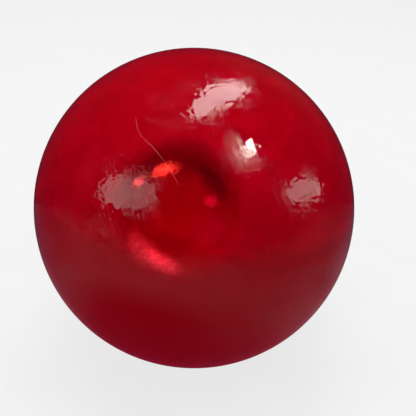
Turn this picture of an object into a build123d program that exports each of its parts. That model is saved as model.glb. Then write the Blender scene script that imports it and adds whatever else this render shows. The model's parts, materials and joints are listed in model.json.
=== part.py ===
from build123d import *
from math import asin, cos, degrees, radians, sin, sqrt
import os

# A drilled tenpin bowling ball with a clear cover, in millimetres.
# It is modelled with its pin straight up (+Z) and its grip towards +X, then turned to how it lies at rest.

INCH = 25.4

# ---- Ball, cover and core ----
ball_diameter = 217.0           # the rules allow 8.500 to 8.595 in, which is 215.9 to 218.3 mm
cover_thickness = 22.0
dish_rim_radius = 32.0          # the round dish in the outer core, at the end away from the pin
dish_floor_radius = 19.5
dish_floor_height = -63.0
dish_rim_round = 8.0
dish_floor_round = 6.0

# ---- Weight block and pin ----
head_radius = 40.5
neck_radius = 12.0
foot_radius = 16.0
foot_thickness = 9.0
block_round = 4.0
pin_diameter = 3 / 8 * INCH
pin_seat_depth = 8.0            # how far the pin goes into the head of the weight block

# ---- Grip: the thumb hole is square to the ball, and the finger holes splay a little ----
finger_span = 4.25 * INCH       # round the ball, from the thumb hole's edge to a finger hole's edge
ring_span_extra = 1 / 8 * INCH  # the ring finger reaches a little further than the middle finger
bridge = 0.35 * INCH            # the cover left between the two finger holes
finger_pitch = 1 / 4 * INCH     # how far each finger hole's line passes the ball's centre by, on its own side
glue_gap = 0.05

insert_radius = 31 / 64 * INCH
insert_length = 1.125 * INCH
finger_radius = 10.5
finger_hole_depth = 1.5 * INCH
finger_bevel = 1.0

sleeve_radius = 0.75 * INCH
sleeve_bore = 15.92
sleeve_floor = 3.0
thumb_hole_depth = 65.5
slug_radius = 15.85
slug_floor = 3.0
thumb_radius = 0.5 * INCH
thumb_bevel = 1.6
pad_thickness = 3.4
pad_radius = 15.5
fit_gap = 0.1

# ---- Bayonet lock between the thumb slug and its sleeve ----
lug_count = 2
lug_reach = 1.45                # how far a lug stands out of the slug
lug_width = 7.0
lug_height = 3.0
lug_above_slug_end = 1.5
lock_clearance = 0.35
unlock_angle = 60.0
index_notch_width = 1.2
index_notch_depth = 0.6

# ---- Where the grip is, and how the ball lies ----
pin_to_grip = 2.75 * INCH       # round the ball, from the pin to the middle of the grip
grip_turn = -75.0               # the thumb-to-fingers line, turned from the line through the pin
pin_drop = 30.0                 # the pin points this far below the horizontal
pin_yaw = 7.0                   # and this far from +Y towards +X
grip_roll = 30.0                # the grip is this far above the level line through the pin

# ---- Worked out from the sizes above ----
ball_radius = ball_diameter / 2
core_radius = ball_radius - cover_thickness
glued_sleeve_hole = sleeve_radius + glue_gap
glued_insert_hole = insert_radius + glue_gap
middle_arc = finger_span + thumb_radius + finger_radius
ring_arc = middle_arc + ring_span_extra
finger_angle = degrees((2 * glued_insert_hole + bridge) / ball_radius / 2)
middle_angle = degrees(middle_arc / ball_radius) / 2
ring_angle = middle_angle + degrees(ring_span_extra / ball_radius)
sleeve_end = ball_radius - thumb_hole_depth
pad_end = sleeve_end + sleeve_floor
slug_end = pad_end + pad_thickness + fit_gap
thumb_end = slug_end + slug_floor
insert_end = ball_radius - insert_length
lug_low = slug_end + lug_above_slug_end


def cylinder(radius, low, high):
    """A cylinder on the Z axis, from one height to another."""
    return Pos(0, 0, low) * Cylinder(radius, high - low, align=(Align.CENTER, Align.CENTER, Align.MIN))


def ball():
    """The whole ball's outer shape."""
    return Sphere(ball_radius)


def drilled(radius, low):
    """A hole's cutter, from its flat end out past the ball's surface."""
    return cylinder(radius, low, ball_radius + 5)


def mouth_bevel(radius, bevel):
    """A 45 degree cone that breaks the edge of a hole of this radius where it meets the ball's surface."""
    mouth = sqrt(ball_radius**2 - radius**2)
    tip = mouth - bevel - radius
    top = mouth + 3 * bevel
    return revolve(Plane.XZ * make_face(Polyline((0, tip), (top - tip, top), (0, top), close=True)), axis=Axis.Z)


def wedge(radius, low, high, from_angle, to_angle):
    """A slice of a cylinder on the Z axis, from one angle round it to another."""
    return Rotation(0, 0, from_angle) * Pos(0, 0, low) * Cylinder(
        radius, high - low, arc_size=to_angle - from_angle, align=(Align.CENTER, Align.CENTER, Align.MIN)
    )


# ---- Where each hole points, turned from the pin's axis ----
grip_place = Rotation(0, degrees(pin_to_grip / ball_radius), 0) * Rotation(0, 0, grip_turn)
thumb_place = grip_place * Rotation(0, -middle_angle, 0)
middle_mouth = grip_place * Rotation(0, middle_angle, 0) * Rotation(finger_angle, 0, 0)
ring_mouth = grip_place * Rotation(0, ring_angle, 0) * Rotation(-finger_angle, 0, 0)
finger_lean = degrees(asin(finger_pitch / ball_radius))
middle_place = middle_mouth * Pos(0, 0, ball_radius) * Rotation(-finger_lean, 0, 0) * Pos(0, 0, -ball_radius)
ring_place = ring_mouth * Pos(0, 0, ball_radius) * Rotation(finger_lean, 0, 0) * Pos(0, 0, -ball_radius)


# ---- Cast core: the outer core, the weight block inside it and the pin that held it in the mould ----
def core_shape():
    """The outer core's outer shape, a ball with a round dish at the end away from the pin."""
    rim_height = -sqrt(core_radius**2 - dish_rim_radius**2)
    rim = (dish_rim_radius, rim_height)
    floor_edge = (dish_floor_radius, dish_floor_height)
    outline = [
        ThreePointArc((0, core_radius), (core_radius, 0), rim),
        Line(rim, floor_edge),
        Line(floor_edge, (0, dish_floor_height)),
        Line((0, dish_floor_height), (0, core_radius)),
    ]
    profile = make_face(outline)
    profile = fillet(profile.vertices().sort_by_distance(Vertex(*rim, 0))[0], dish_rim_round)
    profile = fillet(profile.vertices().sort_by_distance(Vertex(*floor_edge, 0))[0], dish_floor_round)
    return revolve(Plane.XZ * profile, axis=Axis.Z)


def weight_block_shape():
    """A light-bulb weight block: a round head, a neck and a flared foot in the floor of the dish."""
    shoulder = (neck_radius, -sqrt(head_radius**2 - neck_radius**2))
    ankle = (neck_radius, dish_floor_height + foot_thickness)
    foot_edge = (foot_radius, dish_floor_height + foot_thickness)
    outline = [
        ThreePointArc((0, head_radius), (head_radius, 0), shoulder),
        Line(shoulder, ankle),
        Line(ankle, foot_edge),
        Line(foot_edge, (foot_radius, dish_floor_height)),
        Line((foot_radius, dish_floor_height), (0, dish_floor_height)),
        Line((0, dish_floor_height), (0, head_radius)),
    ]
    profile = make_face(outline)
    for corner in (shoulder, ankle):
        profile = fillet(profile.vertices().sort_by_distance(Vertex(*corner, 0))[0], block_round)
    return revolve(Plane.XZ * profile, axis=Axis.Z)


def pin_shape(grow=0.0):
    """The pin, from its seat in the weight block's head out past the ball's surface."""
    return cylinder(pin_diameter / 2 + grow, head_radius - pin_seat_depth, ball_radius + 5)


def holes():
    """Everything that is drilled out of the ball, as one cutter."""
    return (
        thumb_place * drilled(glued_sleeve_hole, sleeve_end)
        + middle_place * drilled(glued_insert_hole, ball_radius - finger_hole_depth)
        + ring_place * drilled(glued_insert_hole, ball_radius - finger_hole_depth)
    )


def coverstock():
    """The clear cover, which fills the dish as well."""
    return ball() - core_shape() - pin_shape() - holes()


def outer_core():
    return core_shape() - weight_block_shape() - pin_shape() - holes()


def weight_block():
    return weight_block_shape() - pin_shape()


def locator_pin():
    return pin_shape() & ball()


# ---- Finger inserts ----
def finger_insert(place, mouth):
    """A soft tube in its hole, with its top cut to the ball's curve and its inner edge broken."""
    tube = place * (drilled(insert_radius, insert_end) - drilled(finger_radius, insert_end - 1))
    return (tube & ball()) - mouth * mouth_bevel(finger_radius, finger_bevel)


# ---- Thumb: sleeve, pad and slug, on the Z axis ----
def index_notch(inner, outer):
    """A shallow radial notch in a rim, which lines up with its neighbour when the slug is locked."""
    middle = (inner + outer) / 2
    surface = sqrt(ball_radius**2 - middle**2)
    box = Box(outer - inner + 2, index_notch_width, 2 * index_notch_depth)
    return Pos(middle, 0, surface) * box


def thumb_sleeve():
    """The glued-in cup, with two L-shaped slots in its wall for the slug's lugs."""
    cup = (drilled(sleeve_radius, sleeve_end) & ball()) - drilled(sleeve_bore, pad_end)
    half_lug = degrees(lug_width / 2 / slug_radius)
    swing_margin = degrees(lock_clearance / slug_radius)
    slot_radius = slug_radius + lug_reach + lock_clearance
    for i in range(lug_count):
        locked_at = 90 + 360 / lug_count * i
        start = locked_at - half_lug - swing_margin
        end = locked_at + unlock_angle + half_lug + swing_margin
        groove = wedge(slot_radius, lug_low - lock_clearance, lug_low + lug_height + lock_clearance, start, end)
        entry = wedge(slot_radius, lug_low, ball_radius, end - 2 * (half_lug + swing_margin), end)
        cup -= groove + entry
    return cup - index_notch(sleeve_bore, sleeve_radius)


def thumb_pad():
    """The rubber disc that keeps the locked slug tight."""
    return cylinder(pad_radius, pad_end, pad_end + pad_thickness)


def thumb_slug():
    """The removable slug, bored for the thumb, with its two lugs near its inner end."""
    slug = drilled(slug_radius, slug_end) & ball()
    half_lug = degrees(lug_width / 2 / slug_radius)
    for i in range(lug_count):
        locked_at = 90 + 360 / lug_count * i
        slug += wedge(
            slug_radius + lug_reach, lug_low, lug_low + lug_height, locked_at - half_lug, locked_at + half_lug
        )
    slug = slug - drilled(thumb_radius, thumb_end) - mouth_bevel(thumb_radius, thumb_bevel)
    return slug - index_notch(thumb_radius + thumb_bevel, slug_radius)


# ---- Turned to how it lies, and written ----
def resting_turn():
    """The turn from pin-up to how the ball lies."""
    drop, yaw, roll = radians(pin_drop), radians(pin_yaw), radians(grip_roll)
    pin_axis = Vector(sin(yaw) * cos(drop), cos(yaw) * cos(drop), -sin(drop))
    level = Vector(-cos(yaw), sin(yaw), 0)
    towards_grip = level * cos(roll) + pin_axis.cross(level) * sin(roll)
    return Plane(origin=(0, 0, 0), x_dir=towards_grip, z_dir=pin_axis).location


rest = resting_turn()
parts = {
    "coverstock": coverstock(),
    "outer_core": outer_core(),
    "weight_block": weight_block(),
    "locator_pin": locator_pin(),
    "middle_finger_insert": finger_insert(middle_place, middle_mouth),
    "ring_finger_insert": finger_insert(ring_place, ring_mouth),
    "thumb_sleeve": thumb_place * thumb_sleeve(),
    "thumb_pad": thumb_place * thumb_pad(),
    "thumb_slug": thumb_place * thumb_slug(),
}

os.makedirs("parts", exist_ok=True)
for name, shape in parts.items():
    export_step(rest * shape, f"parts/{name}.step")
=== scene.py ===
"""The looks of a drilled tenpin bowling ball with a clear red cover, built round its CAD model."""
import json
import math

import bmesh
import bpy
from mathutils import Matrix, Vector


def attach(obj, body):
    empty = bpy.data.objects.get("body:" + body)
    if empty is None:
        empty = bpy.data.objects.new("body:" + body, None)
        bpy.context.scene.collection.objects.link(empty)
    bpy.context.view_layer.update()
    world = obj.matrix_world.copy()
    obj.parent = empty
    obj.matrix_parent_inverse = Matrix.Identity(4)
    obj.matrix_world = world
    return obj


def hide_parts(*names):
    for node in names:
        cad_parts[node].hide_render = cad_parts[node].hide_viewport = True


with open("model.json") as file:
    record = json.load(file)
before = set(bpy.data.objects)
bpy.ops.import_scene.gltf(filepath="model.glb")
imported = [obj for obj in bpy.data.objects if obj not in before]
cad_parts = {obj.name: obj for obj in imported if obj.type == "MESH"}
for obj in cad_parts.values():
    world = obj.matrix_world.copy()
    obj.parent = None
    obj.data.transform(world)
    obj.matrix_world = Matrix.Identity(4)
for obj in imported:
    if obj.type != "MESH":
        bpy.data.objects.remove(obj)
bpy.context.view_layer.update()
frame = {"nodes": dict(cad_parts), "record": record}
nodes = frame["nodes"]
mounts = {mount["name"]: mount for mount in frame["record"]["mounts"]}

MM = 0.001

# ---- Sizes from the CAD, in metres. Heights run out along a hole's own axis ----
BALL_RADIUS = 108.5 * MM
PIN_RADIUS = 4.7625 * MM
SLEEVE_RADIUS = 19.05 * MM
SLEEVE_FLOOR_MIDDLE = 44.5 * MM     # halfway through the sleeve's closed end
INSERT_RADIUS = 12.303 * MM
INSERT_END = 79.925 * MM
FINGER_HOLE_END = 70.4 * MM

# ---- Mesh settings ----
LATHE_SEGMENTS = 128
COVER_CUTS = 63
STAGE_BALL_CUTS = 15
SHARP_ANGLE = math.radians(30)
ON_BALL_TOLERANCE = 2e-6


# ---- Mesh helpers ----
def new_object(name, mesh):
    piece = bpy.data.objects.new(name, mesh)
    bpy.context.scene.collection.objects.link(piece)
    return piece


def finished(name, mesh):
    """An object made from a bmesh, which is freed."""
    data = bpy.data.meshes.new(name)
    mesh.to_mesh(data)
    mesh.free()
    return new_object(name, data)


def aim(direction):
    """The turn that takes +Z to a direction."""
    return Vector(direction).normalized().to_track_quat("Z", "Y").to_matrix().to_4x4()


def lathe(name, profile, place):
    """A closed turned solid: a profile of (radius, height) points, from the axis back to the axis."""
    mesh = bmesh.new()
    rings = []
    for radius, height in profile:
        if radius == 0:
            rings.append([mesh.verts.new((0, 0, height))])
            continue
        ring = []
        for i in range(LATHE_SEGMENTS):
            angle = 2 * math.pi * i / LATHE_SEGMENTS
            ring.append(mesh.verts.new((radius * math.cos(angle), radius * math.sin(angle), height)))
        rings.append(ring)
    for low, high in zip(rings, rings[1:]):
        for i in range(LATHE_SEGMENTS):
            j = (i + 1) % LATHE_SEGMENTS
            if len(low) == 1:
                mesh.faces.new((low[0], high[j], high[i]))
            elif len(high) == 1:
                mesh.faces.new((low[i], low[j], high[0]))
            else:
                mesh.faces.new((low[i], low[j], high[j], high[i]))
    bmesh.ops.recalc_face_normals(mesh, faces=mesh.faces)
    piece = finished(name, mesh)
    piece.data.transform(place)
    return piece


def round_ball(name, radius, cuts):
    """A ball made from a cube whose faces are divided and pushed out to the radius."""
    mesh = bmesh.new()
    bmesh.ops.create_cube(mesh, size=2)
    bmesh.ops.subdivide_edges(mesh, edges=mesh.edges, cuts=cuts, use_grid_fill=True)
    for vert in mesh.verts:
        even = [math.tan(value * math.pi / 4) for value in vert.co]
        vert.co = Vector(even).normalized() * radius
    return finished(name, mesh)


def cut(piece, cutters):
    """Cuts each cutter out of a piece, and removes the cutters."""
    for cutter in cutters:
        step = piece.modifiers.new("cut", "BOOLEAN")
        step.operation = "DIFFERENCE"
        step.solver = "EXACT"
        step.object = cutter
    graph = bpy.context.evaluated_depsgraph_get()
    data = bpy.data.meshes.new_from_object(piece.evaluated_get(graph))
    piece.modifiers.clear()
    old = piece.data
    piece.data = data
    bpy.data.meshes.remove(old)
    for cutter in cutters:
        bpy.data.objects.remove(cutter)


def smooth_round(piece, radius):
    """Smooth shading, with exact normals on the part of the piece that lies on a ball of this radius."""
    data = piece.data
    data.shade_smooth()
    data.set_sharp_from_angle(angle=SHARP_ANGLE)
    normals = []
    for face in data.polygons:
        corners = [data.vertices[i].co for i in face.vertices]
        on_ball = all(abs(corner.length - radius) < ON_BALL_TOLERANCE for corner in corners)
        for corner in corners:
            normals.append(corner.normalized() if on_ball else Vector((0, 0, 0)))
    data.normals_split_custom_set(normals)


# ---- Where the CAD's axes are ----
pin_mesh = nodes["locator_pin"].data
pin_axis = (sum((vert.co for vert in pin_mesh.vertices), Vector()) / len(pin_mesh.vertices)).normalized()
thumb_axis = Vector(mounts["thumb_hole"]["axis"])
finger_mounts = [mounts["middle_finger_hole"], mounts["ring_finger_hole"]]


def finger_place(mount):
    """A finger hole's own frame, with +Z out along the hole and the ball's centre level with its origin."""
    axis = Vector(mount["axis"])
    position = Vector(mount["pos_m"])
    return Matrix.Translation(position - axis * position.dot(axis)) @ aim(axis)


# ---- The clear cover ----
SINK = 0.4 * MM             # how far a pocket's wall lies inside the opaque piece next to it
GLUE_LINE = 0.1 * MM        # how much a pocket widens at the ball's surface
OUTSIDE = BALL_RADIUS + 10 * MM


def below_surface(depth):
    """A height this many millimetres below the ball's surface."""
    return BALL_RADIUS - depth * MM


def pocket(name, place, wall):
    """A pocket's cutter: a flat end, a wall of (radius, height) points and a mouth past the surface."""
    end = wall[0][1]
    mouth = wall[-1][0]
    return lathe(name, [(0, end), *wall, (mouth, OUTSIDE), (0, OUTSIDE)], place)


def cover_cutters():
    """Pockets for the pin, the thumb sleeve and the finger inserts."""
    cutters = [
        pocket("cut_pin", aim(pin_axis), [
            (PIN_RADIUS, below_surface(3)),
            (PIN_RADIUS, below_surface(0.8)),
            (PIN_RADIUS + GLUE_LINE, below_surface(0.6)),
        ]),
        pocket("cut_thumb", aim(thumb_axis), [
            (SLEEVE_RADIUS - SINK, SLEEVE_FLOOR_MIDDLE),
            (SLEEVE_RADIUS - SINK, below_surface(5)),
            (SLEEVE_RADIUS, below_surface(4)),
            (SLEEVE_RADIUS, below_surface(2.5)),
            (SLEEVE_RADIUS + GLUE_LINE, below_surface(2.3)),
        ]),
    ]
    for mount in finger_mounts:
        cutters.append(pocket("cut_finger", finger_place(mount), [
            (INSERT_RADIUS + SINK, FINGER_HOLE_END - SINK),
            (INSERT_RADIUS + SINK, INSERT_END),
            (INSERT_RADIUS - SINK, INSERT_END),
            (INSERT_RADIUS - SINK, below_surface(4)),
            (INSERT_RADIUS, below_surface(3)),
            (INSERT_RADIUS, below_surface(2.2)),
            (INSERT_RADIUS + GLUE_LINE, below_surface(2)),
        ]))
    return cutters


cover = round_ball("cover", BALL_RADIUS, COVER_CUTS)
cut(cover, cover_cutters())
smooth_round(cover, BALL_RADIUS)
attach(cover, "ball")
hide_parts("coverstock")


# ---- Material helpers ----
class Paint:
    """A Principled material and short ways to add nodes to it. Places are the piece's own, in metres."""

    def __init__(self, name):
        self.material = bpy.data.materials.new(name)
        self.material.use_nodes = True
        self.tree = self.material.node_tree
        self.shader = self.tree.nodes["Principled BSDF"]
        self.output = self.tree.nodes["Material Output"]
        self.place = self.tree.nodes.new("ShaderNodeTexCoord").outputs["Object"]

    def add(self, kind, inputs=None, **settings):
        """A node of a kind, with its settings, and its inputs set to values or joined to other nodes."""
        node = self.tree.nodes.new("ShaderNode" + kind)
        for key, value in settings.items():
            setattr(node, key, value)
        for key, value in (inputs or {}).items():
            self.put(node.inputs[key], value)
        return node

    def put(self, socket, value):
        if isinstance(value, bpy.types.NodeSocket):
            self.tree.links.new(value, socket)
        else:
            socket.default_value = value

    def set(self, **inputs):
        """Sets inputs of the Principled shader, named with _ for a space."""
        for key, value in inputs.items():
            self.put(self.shader.inputs[key.replace("_", " ")], value)

    def noise(self, size, detail=2.0, place=None, distortion=0.0):
        """Noise whose features are about this size, in metres."""
        return self.add("TexNoise", {
            "Vector": place or self.place, "Scale": 1 / size, "Detail": detail, "Distortion": distortion,
        }).outputs["Fac"]

    def ramp(self, value, low, high, to_low=0.0, to_high=1.0):
        """Goes smoothly from to_low, where a value is low, to to_high, where it is high."""
        return self.add("MapRange", {
            "Value": value, "From Min": low, "From Max": high, "To Min": to_low, "To Max": to_high,
        }, interpolation_type="SMOOTHSTEP").outputs["Result"]

    def math(self, operation, first, second=0.0):
        return self.add("Math", {0: first, 1: second}, operation=operation).outputs[0]

    def vector_math(self, operation, output, inputs):
        return self.add("VectorMath", inputs, operation=operation).outputs[output]

    def mix(self, factor, first, second):
        node = self.add("Mix", {"Factor": factor}, data_type="RGBA")
        colour_a, colour_b, result = node.inputs[6], node.inputs[7], node.outputs[2]
        self.put(colour_a, first)
        self.put(colour_b, second)
        return result

    def bump(self, height, depth, below=None):
        """A bump whose height of 0 to 1 stands for a depth in metres."""
        inputs = {"Height": height, "Distance": depth, "Strength": 1.0}
        if below is not None:
            inputs["Normal"] = below
        return self.add("Bump", inputs).outputs["Normal"]

    def along(self, axis):
        """How far along an axis a point is from the piece's origin."""
        return self.vector_math("DOT_PRODUCT", "Value", {0: self.place, 1: axis})

    def from_origin(self):
        """How far a point is from the piece's origin."""
        return self.vector_math("LENGTH", "Value", {0: self.place})

    def reach(self, middle, size, way=(1, 0, 0)):
        """How far a point is from a middle, in half sizes along and across a way."""
        near = self.add("Mapping", {
            "Vector": self.place,
            "Location": middle,
            "Rotation": Vector(way).to_track_quat("X", "Z").to_euler(),
            "Scale": size,
        }, vector_type="TEXTURE").outputs["Vector"]
        return self.vector_math("LENGTH", "Value", {0: near})

    def cover_node(self, name):
        """Paints a CAD node."""
        nodes[name].material_slots[0].material = self.material


def colour(red, green, blue):
    return (red, green, blue, 1.0)


def times(values, factor):
    return [value * factor for value in values]


def at_surface(paint, depth):
    """1 at the ball's surface, and 0 deeper than this."""
    return paint.ramp(paint.from_origin(), BALL_RADIUS - depth, BALL_RADIUS)


WHITE = colour(1, 1, 1)
BLACK = colour(0, 0, 0)
X_AXIS = (1, 0, 0)
Y_AXIS = (0, 1, 0)


# ---- The cover's material ----
ORANGE_PEEL_DEPTH = 0.1 * MM
GRAIN_DEPTH = 0.15 * MM
ARC_DEPTH = 0.035 * MM
ARC_CENTRE = (-0.05, 0.0, -0.02)
ARCS_SCALE = 140.0


def clear_red_resin():
    """Polished polyester: orange peel, worn grain and the arcs that a ball polisher leaves."""
    paint = Paint("clear_red_resin")
    peel = paint.noise(7 * MM, detail=2)
    grain = paint.noise(2.4 * MM, detail=0)
    worn = paint.ramp(paint.noise(12 * MM, detail=3), 0.4, 0.6, 0.5, 1.0)
    centred = paint.add("Mapping", {"Vector": paint.place, "Location": ARC_CENTRE}).outputs["Vector"]
    arcs = paint.add("TexWave", {
        "Vector": centred, "Scale": ARCS_SCALE, "Distortion": 2.5, "Detail": 2.0, "Detail Scale": 20.0,
    }, wave_type="RINGS", rings_direction="SPHERICAL").outputs["Fac"]
    patches = paint.ramp(paint.noise(18 * MM, detail=3), 0.42, 0.58)
    normal = paint.bump(peel, ORANGE_PEEL_DEPTH)
    normal = paint.bump(paint.math("MULTIPLY", grain, worn), GRAIN_DEPTH, normal)
    normal = paint.bump(paint.math("MULTIPLY", arcs, patches), ARC_DEPTH, normal)
    rough = paint.ramp(paint.noise(9 * MM, detail=4), 0.35, 0.7, 0.02, 0.06)
    paint.set(Base_Color=WHITE, Transmission_Weight=1.0, IOR=1.55, Roughness=rough, Normal=normal)
    depth = paint.add("VolumeAbsorption", {"Color": colour(0.98, 0.3, 0.5), "Density": 100.0})
    paint.put(paint.output.inputs["Volume"], depth.outputs["Volume"])
    return paint


# ---- The cast core's material ----
# Painted caustics on it: glowing spots that stand in for lamp light the clear cover gathers on the core. Each
# has a middle and half sizes in mm, the way it runs, its glow and how crumbly it is.
PAINTED_CAUSTICS = [
    ((-15.0, -45.5, 48.4), (9.5, 7.0, 4.6), (1, 0, 0.25), (3.4, 1.85, 0.55), 0.8),
    ((-27.8, -51.4, 45.1), (6.5, 5.0, 3.4), (1, 0, 0.1), (3.0, 2.0, 1.2), 0.8),
    ((7.8, -53.8, 35.0), (4.2, 4.5, 3.8), (1, 0, 0), (0.5, 0.04, 0.15), 0.1),
    ((-16.6, -77.2, 13.9), (15.0, 8.0, 6.5), (15.8, -12.4, -4.9), (0.62, 0.15, 0.16), 0.45),
    ((-24.6, -73.1, 18.0), (16.0, 11.0, 10.0), (12.0, -8.0, -6.0), (0.42, 0.13, 0.12), 0.4),
    ((9.3, -62.3, 22.3), (17.0, 13.0, 12.0), (1, 0, 0), (0.065, 0.001, 0.035), 0.0),
]
# Painted shade and a darker patch on it: the first two paint the shade in the dish's upper wall, the third
# darkens a patch lower down. Each has a middle and half sizes in mm, the way it runs, and how dark it is.
SHADE_AND_DARK_PATCHES = [
    ((10.8, -52.2, 44.4), (13.0, 10.0, 9.0), (1, 0, -0.9), 0.6),
    ((2.5, -48.3, 51.9), (13.0, 8.0, 7.0), (1, 0, -0.5), 0.4),
    ((-12.2, -61.7, 16.9), (17.0, 8.0, 5.0), (1, -0.2, -0.25), 0.2),
]
SHADE_PATCH_COLOUR = colour(0.1, 0.0, 0.002)
# The core's lower part is painted darker: painted shade below the terminator of the light from above. Up this
# axis, towards that light, the shaded colour turns into the lit one over a step, which noise moves down by as
# much as its wander.
SHADE_AXIS = Vector((0.084, 0.181, 0.98))
SHADE_STEP = (5 * MM, 13 * MM)
SHADE_WANDER = 10 * MM
SHADED_FACTOR = 0.8


def painted_lower_shade(paint, body, light):
    """A cast body's colour with painted shade: darker and even below a wandering step."""
    wander = paint.math("MULTIPLY", paint.noise(20 * MM, detail=3), SHADE_WANDER)
    level = paint.math("ADD", paint.along(SHADE_AXIS), wander)
    return paint.mix(paint.ramp(level, *SHADE_STEP), colour(*times(light[:3], SHADED_FACTOR)), body)


def painted_caustic_glow(paint):
    """The painted caustics' glows, broken up into crumbs and added together."""
    stretched = paint.add("Mapping", {"Vector": paint.place, "Scale": (1.0, 1.0, 0.35)}).outputs["Vector"]
    crumbs = paint.ramp(paint.noise(1.5 * MM, detail=2, distortion=0.5, place=stretched), 0.4, 0.62)
    total = (0, 0, 0)
    for middle, size, way, glow, crumble in PAINTED_CAUSTICS:
        inside = paint.ramp(paint.reach(times(middle, MM), times(size, MM), way), 1.0, 0.2)
        broken = paint.ramp(crumbs, 0.0, 1.0, 1 - crumble, 1.0)
        strength = paint.math("MULTIPLY", inside, broken)
        part = paint.vector_math("SCALE", "Vector", {0: glow, "Scale": strength})
        total = paint.vector_math("ADD", "Vector", {0: part, 1: total})
    return total


def cast_filler(name, light, dark):
    """Dull cast filler: mottled, with painted shade on its lower part and in its dish, a darker patch, and
    painted caustics that glow.
    """
    paint = Paint(name)
    mottle = paint.ramp(paint.noise(14 * MM, detail=5, distortion=0.6), 0.35, 0.68)
    # Painted shade: the core's lower part is darker, as below the terminator of the light from above.
    body = painted_lower_shade(paint, paint.mix(mottle, dark, light), light)
    # Painted shade in the dish's upper wall, and one darker patch lower down.
    for middle, size, way, darkness in SHADE_AND_DARK_PATCHES:
        reach = paint.reach(times(middle, MM), times(size, MM), way)
        body = paint.mix(paint.ramp(reach, 1.1, 0.4, 0.0, darkness), body, SHADE_PATCH_COLOUR)
    grain = paint.bump(paint.noise(1.6 * MM, detail=4), 0.25 * MM)
    paint.set(Base_Color=body, Roughness=0.55, Specular_IOR_Level=0.0, Normal=grain)
    # The core's glow is painted light: caustics of the lamps, as gathered by the clear cover.
    paint.set(Emission_Color=painted_caustic_glow(paint), Emission_Strength=1.0)
    return paint


# ---- The fitted pieces' materials ----
WORN_GAIN = 1.9         # worn plastic is this many times as pale as it was,
WORN_LIFT = 0.02        # and paler by this,
WORN_AMOUNT = 0.6       # and its colour goes this far towards that


def soft_vinyl(name):
    """Moulded vinyl: a pebbled skin, rubbed pale at the mouth, with dust and skin oil in blotches."""
    paint = Paint(name)
    blotch = paint.ramp(paint.noise(7 * MM, detail=4, distortion=0.8), 0.35, 0.65)
    skin = paint.mix(blotch, colour(0.024, 0.024, 0.026), colour(0.05, 0.048, 0.047))
    rub_marks = paint.ramp(paint.noise(2.5 * MM, detail=4), 0.35, 0.6)
    rubbed = paint.math("MULTIPLY", at_surface(paint, 1.6 * MM), rub_marks)
    pebble = paint.noise(0.45 * MM, detail=2)
    scuff = paint.noise(1.6 * MM, detail=3, distortion=2.0)
    paint.set(
        Base_Color=paint.mix(rubbed, skin, colour(0.13, 0.125, 0.12)),
        Roughness=paint.ramp(blotch, 0, 1, 0.42, 0.6),
        Sheen_Weight=0.2,
        Normal=paint.bump(scuff, 0.08 * MM, paint.bump(pebble, 0.06 * MM)),
    )
    return paint


def turned_plastic(name, axis, dark, light, pitch, rough):
    """Plastic turned on a lathe: fine rings round its axis, a faint cast swirl, and edges worn pale."""
    paint = Paint(name)
    swirl = paint.ramp(paint.noise(16 * MM, detail=5, distortion=2.5), 0.38, 0.62)
    body = paint.mix(swirl, dark, light)
    wobble = paint.math("MULTIPLY", paint.noise(6 * MM, detail=2), 0.3 * pitch)
    height = paint.math("ADD", paint.along(axis), wobble)
    wave = paint.math("SINE", paint.math("MULTIPLY", height, 2 * math.pi / pitch))
    uneven = paint.ramp(paint.noise(5 * MM, detail=3), 0.3, 0.7, 0.4, 1.0)
    rings = paint.math("MULTIPLY", paint.ramp(wave, -1, 1), uneven)
    wear_marks = paint.ramp(paint.noise(3 * MM, detail=4), 0.42, 0.66)
    worn = paint.math("MULTIPLY", at_surface(paint, 1.2 * MM), wear_marks)
    pale = colour(*(min(1.0, value * WORN_GAIN + WORN_LIFT) for value in light[:3]))
    paint.set(
        Base_Color=paint.mix(paint.math("MULTIPLY", worn, WORN_AMOUNT), body, pale),
        Roughness=paint.ramp(paint.noise(4 * MM, detail=4), 0.3, 0.7, rough - 0.08, rough + 0.1),
        Normal=paint.bump(paint.noise(0.8 * MM, detail=3), 0.02 * MM, paint.bump(rings, 0.02 * MM)),
    )
    return paint


def pad_rubber():
    """Dull moulded rubber with a fine stipple and a little dust."""
    paint = Paint("pad_rubber")
    dust = paint.ramp(paint.noise(4 * MM, detail=5), 0.45, 0.75)
    paint.set(
        Base_Color=paint.mix(dust, colour(0.02, 0.02, 0.02), colour(0.06, 0.055, 0.05)),
        Roughness=0.8,
        Specular_IOR_Level=0.3,
        Normal=paint.bump(paint.noise(0.5 * MM, detail=3), 0.08 * MM),
    )
    return paint


def pin_plastic():
    """Off-white cast plastic with sanding marks, a few pits and a faint stain."""
    paint = Paint("pin_plastic")
    stain = paint.ramp(paint.noise(5 * MM, detail=5, distortion=1.0), 0.4, 0.7)
    pits = paint.ramp(paint.noise(0.7 * MM, detail=2), 0.7, 0.78)
    body = paint.mix(stain, colour(0.72, 0.68, 0.57), colour(0.55, 0.44, 0.3))
    marks = paint.noise(1.2 * MM, detail=4, distortion=3.0)
    paint.set(
        Base_Color=paint.mix(pits, body, colour(0.25, 0.18, 0.12)),
        Roughness=0.34,
        Normal=paint.bump(marks, 0.03 * MM, paint.bump(pits, -0.08 * MM)),
    )
    return paint


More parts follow.
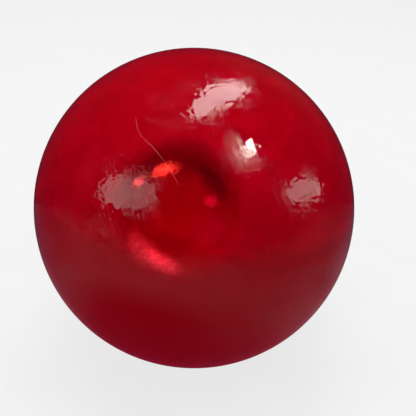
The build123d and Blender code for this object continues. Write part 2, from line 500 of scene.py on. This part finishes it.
cover.data.materials.clear()
cover.data.materials.append(clear_red_resin().material)
cast_filler("core_filler", colour(0.52, 0.01, 0.085), colour(0.45, 0.007, 0.065)).cover_node("outer_core")
cast_filler("block_filler", colour(0.54, 0.011, 0.095), colour(0.47, 0.008, 0.073)).cover_node("weight_block")
pin_plastic().cover_node("locator_pin")
vinyl = soft_vinyl("soft_vinyl")
vinyl.cover_node("middle_finger_insert")
vinyl.cover_node("ring_finger_insert")
turned_plastic(
    "sleeve_plastic", thumb_axis, colour(0.02, 0.02, 0.022), colour(0.035, 0.034, 0.034), 0.5 * MM, 0.4
).cover_node("thumb_sleeve")
pad_rubber().cover_node("thumb_pad")
turned_plastic(
    "slug_plastic", thumb_axis, colour(0.085, 0.085, 0.09), colour(0.17, 0.165, 0.16), 0.35 * MM, 0.3
).cover_node("thumb_slug")


# ---- A hairline scratch: thin whitened lines on the cover ----
# Each run of it has a width and points as directions from the ball's centre.
SCRATCHES = [
    (0.12 * MM, [(-0.298, -0.498, 0.814), (-0.281, -0.573, 0.77), (-0.255, -0.612, 0.749)]),
    (0.17 * MM, [(-0.255, -0.612, 0.749), (-0.204, -0.66, 0.723), (-0.149, -0.721, 0.677)]),
    (0.12 * MM, [(-0.149, -0.721, 0.677), (-0.11, -0.765, 0.635), (-0.071, -0.81, 0.583)]),
]
SCRATCH_STEPS = 24
SCRATCH_HEIGHT = BALL_RADIUS + 0.01 * MM


def scratch_path(directions):
    """Evenly spaced directions along a run of the scratch."""
    corners = [Vector(direction).normalized() for direction in directions]
    path = []
    for start, end in zip(corners, corners[1:]):
        path += [start.lerp(end, i / SCRATCH_STEPS).normalized() for i in range(SCRATCH_STEPS)]
    return path + [corners[-1]]


def scratch_lines():
    """Thin strips that taper at both ends, just clear of the cover."""
    mesh = bmesh.new()
    for width, directions in SCRATCHES:
        path = scratch_path(directions)
        rails = []
        for i, point in enumerate(path):
            ahead = path[min(i + 1, len(path) - 1)] - path[max(i - 1, 0)]
            side = point.cross(ahead).normalized()
            taper = math.sin(math.pi * (i + 0.5) / len(path)) ** 0.5
            half = side * width * taper / 2
            centre = point * SCRATCH_HEIGHT
            rails.append((mesh.verts.new(centre - half), mesh.verts.new(centre + half)))
        for (a, b), (c, d) in zip(rails, rails[1:]):
            mesh.faces.new((a, b, d, c))
    return finished("scratches", mesh)


def scuffed_resin():
    """Resin whitened unevenly by a scratch."""
    paint = Paint("scuffed_resin")
    scuffed = paint.mix(paint.noise(2 * MM), colour(0.4, 0.01, 0.03), colour(0.6, 0.14, 0.16))
    paint.set(Base_Color=scuffed, Roughness=0.5)
    return paint


scratches = scratch_lines()
scratches.data.materials.append(scuffed_resin().material)
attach(scratches, "ball")


# ---- Stage: each piece shows only to some kinds of ray, as a reflector outside the picture would ----
STAGE_REACH = 8.0
FLOOR_HEIGHT = -BALL_RADIUS
BOUNCE_HEIGHT = FLOOR_HEIGHT - 1 * MM
CARD_HEIGHT = FLOOR_HEIGHT + 0.2 * MM
CARD_BACK = 0.2
ONE_METRE = (1, 1, 1)
SHADE_MIDDLE = (-0.07, -0.13, FLOOR_HEIGHT)
LEFT_BEHIND_MIDDLE = (-0.6, 0.05, FLOOR_HEIGHT)
LEFT_BEHIND_SIZE = (0.5, 0.2, 1)
ROOM = 7.0
BACKDROP = 1.05 * ROOM
WORLD_GREY = 0.72
# Pale places in the dim room: a middle and half sizes in room radii, and a glow.
GLOWS = [
    ((0.38, 0.88, 0.25), (0.4, 0.4, 0.45), colour(0.06, 0.035, 0.042)),
    ((-0.86, -0.51, 0.0), (0.26, 0.36, 0.14), colour(0.3, 0.27, 0.27)),
]


def flat_sheet(name, height, back=STAGE_REACH):
    """A flat stage sheet at a height, as far back as this."""
    mesh = bmesh.new()
    left, right, front = -STAGE_REACH, STAGE_REACH, -STAGE_REACH
    corners = [(left, front), (right, front), (right, back), (left, back)]
    mesh.faces.new([mesh.verts.new((x, y, height)) for x, y in corners])
    return finished(name, mesh)


def put_on_stage(piece, paint, *rays):
    """Makes a painted piece part of the stage, shown to these kinds of ray."""
    piece.data.materials.append(paint.material)
    for ray in ("camera", "diffuse", "glossy", "transmission", "shadow"):
        setattr(piece, "visible_" + ray, ray in rays)


def dull_paint(name, **inputs):
    paint = Paint(name)
    paint.set(Roughness=0.9, Specular_IOR_Level=0.0, **inputs)
    return paint


def floor_paint():
    """The pale floor that shows, evenly lit from below like a light table."""
    paint = dull_paint("floor_pale", Base_Color=colour(0.08, 0.08, 0.08), Emission_Color=WHITE)
    paint.set(Emission_Strength=paint.ramp(paint.noise(40 * MM, detail=3), 0.3, 0.7, 0.76, 0.77))
    return paint


def bounce_paint():
    """What the floor throws back on the ball, more of it on the left."""
    paint = dull_paint("bounce_grey", Base_Color=colour(0.4, 0.4, 0.4), Emission_Color=WHITE)
    paint.set(Emission_Strength=paint.ramp(paint.along(X_AXIS), -0.15, 0.25, 1.1, 0.6))
    return paint


def card_paint():
    """The floor's reflection in the ball: painted shadow where the ball shades it, dark far off, and painted
    red light from the ball close by.
    """
    paint = dull_paint("card_grey")
    # Painted shadow of the ball on the reflected floor.
    grey = paint.ramp(paint.reach(SHADE_MIDDLE, ONE_METRE), 0.05, 0.2, 0.008, 0.085)
    mottled = paint.ramp(paint.noise(120 * MM, detail=3), 0.3, 0.7, 0.7, 1.3)
    far_off = paint.ramp(paint.from_origin(), 0.5, 4.0, 1.0, 0.3)
    behind = paint.ramp(paint.along(Y_AXIS), -0.08, 0.18, 1.0, 0.4)
    rightwards = paint.ramp(paint.along(X_AXIS), 0.16, 0.36, 1.0, 0.5)
    left_behind = paint.ramp(paint.reach(LEFT_BEHIND_MIDDLE, LEFT_BEHIND_SIZE), 1.2, 0.6, 1.0, 0.45)
    for fade in (mottled, far_off, behind, rightwards, left_behind):
        grey = paint.math("MULTIPLY", grey, fade)
    # Painted red light that the ball throws on the floor close by.
    close_by = paint.ramp(paint.reach((0, 0, FLOOR_HEIGHT), ONE_METRE), 0.3, 0.05)
    glow = paint.mix(close_by, colour(0.02, 0.0, 0.035), colour(0.22, 0.006, 0.035))
    paint.set(Base_Color=grey, Emission_Color=glow, Emission_Strength=1.0)
    return paint


def room_paint():
    """The dim room, as the ball's edge reflects it."""
    paint = dull_paint("room_dim", Base_Color=BLACK)
    beyond = paint.ramp(paint.along(Y_AXIS), 0.3 * ROOM, 0.75 * ROOM)
    light = paint.mix(beyond, colour(0.001, 0.0005, 0.035), colour(0.06, 0.012, 0.03))
    for middle, size, glow in GLOWS:
        inside = paint.ramp(paint.reach(times(middle, ROOM), times(size, ROOM)), 1.0, 0.3)
        light = paint.mix(inside, light, glow)
    paint.set(Emission_Color=light, Emission_Strength=1.0)
    return paint


def backdrop_paint():
    """A plain backdrop, as pale as the floor."""
    return dull_paint("backdrop_pale", Base_Color=BLACK, Emission_Color=WHITE, Emission_Strength=0.9)


put_on_stage(flat_sheet("floor", FLOOR_HEIGHT), floor_paint(), "camera", "shadow")
put_on_stage(flat_sheet("bounce", BOUNCE_HEIGHT), bounce_paint(), "diffuse")
put_on_stage(flat_sheet("card", CARD_HEIGHT, CARD_BACK), card_paint(), "glossy")
put_on_stage(round_ball("room", ROOM, STAGE_BALL_CUTS), room_paint(), "glossy")
put_on_stage(round_ball("backdrop", BACKDROP, STAGE_BALL_CUTS), backdrop_paint(), "camera")

world = bpy.data.worlds.new("room")
bpy.context.scene.world = world
world.use_nodes = True
world.node_tree.nodes["Background"].inputs["Color"].default_value = colour(WORLD_GREY, WORLD_GREY, WORLD_GREY)
world.cycles_visibility.glossy = False


# ---- Lamps ----
# Lamps that the ball's gloss shows: a name, position and size in metres, radiance, and roll in degrees.
SHOWN_LAMPS = [
    ("lamp_top", (0.255, 0.401, 1.193), (1.1, 0.32), 6.0, -89.2),
    ("lamp_spot", (0.678, -0.327, 1.055), (0.29, 0.16), 24, 7.4),
    ("lamp_right", (1.226, -0.17, 0.332), (0.74, 0.28), 2.2, -23.8),
    ("lamp_left", (-0.876, -0.708, 0.647), (0.95, 0.43), 1.8, 18.4),
]
# Soft lamps that only light the scene: a name, position and size in metres, and radiance.
SOFT_LAMPS = [
    ("fill_left", (-1.3, -0.3, 0.7), (1.0, 1.0), 1.6),
    ("softbox", (-0.1, 0.5, 2.3), (1.8, 1.8), 5.0),
]
ELLIPSE_FILL = math.pi / 4      # how much of its own box an ellipse fills


def lamp(name, position, size, radiance, roll, shape, glossy):
    """A lamp that points at the ball, turned about its own axis by a roll in degrees."""
    data = bpy.data.lights.new(name, "AREA")
    data.shape = shape
    data.size, data.size_y = size
    area = size[0] * size[1] * (ELLIPSE_FILL if shape == "ELLIPSE" else 1)
    data.energy = radiance * math.pi * area
    light = new_object(name, data)
    turn = aim(position) @ Matrix.Rotation(math.radians(roll), 4, "Z")
    light.matrix_world = Matrix.Translation(position) @ turn
    light.visible_glossy = glossy


for name, position, size, radiance, roll in SHOWN_LAMPS:
    lamp(name, position, size, radiance, roll, shape="ELLIPSE", glossy=True)
for name, position, size, radiance in SOFT_LAMPS:
    lamp(name, position, size, radiance, 0.0, shape="RECTANGLE", glossy=False)


# ---- Camera ----
LENS = 50
ELEVATION = math.radians(30)
DISTANCE = 3.74 * BALL_RADIUS
SIDEWAYS = math.radians(1.29)       # turned so that the ball lies a little left of the middle

camera_data = bpy.data.cameras.new("camera")
camera_data.lens = LENS
camera = new_object("camera", camera_data)
back = Vector((0, -math.cos(ELEVATION), math.sin(ELEVATION)))
camera.matrix_world = Matrix.Translation(back * DISTANCE) @ aim(back) @ Matrix.Rotation(-SIDEWAYS, 4, "Y")
bpy.context.scene.camera = camera
bpy.context.scene.view_settings.view_transform = "Standard"
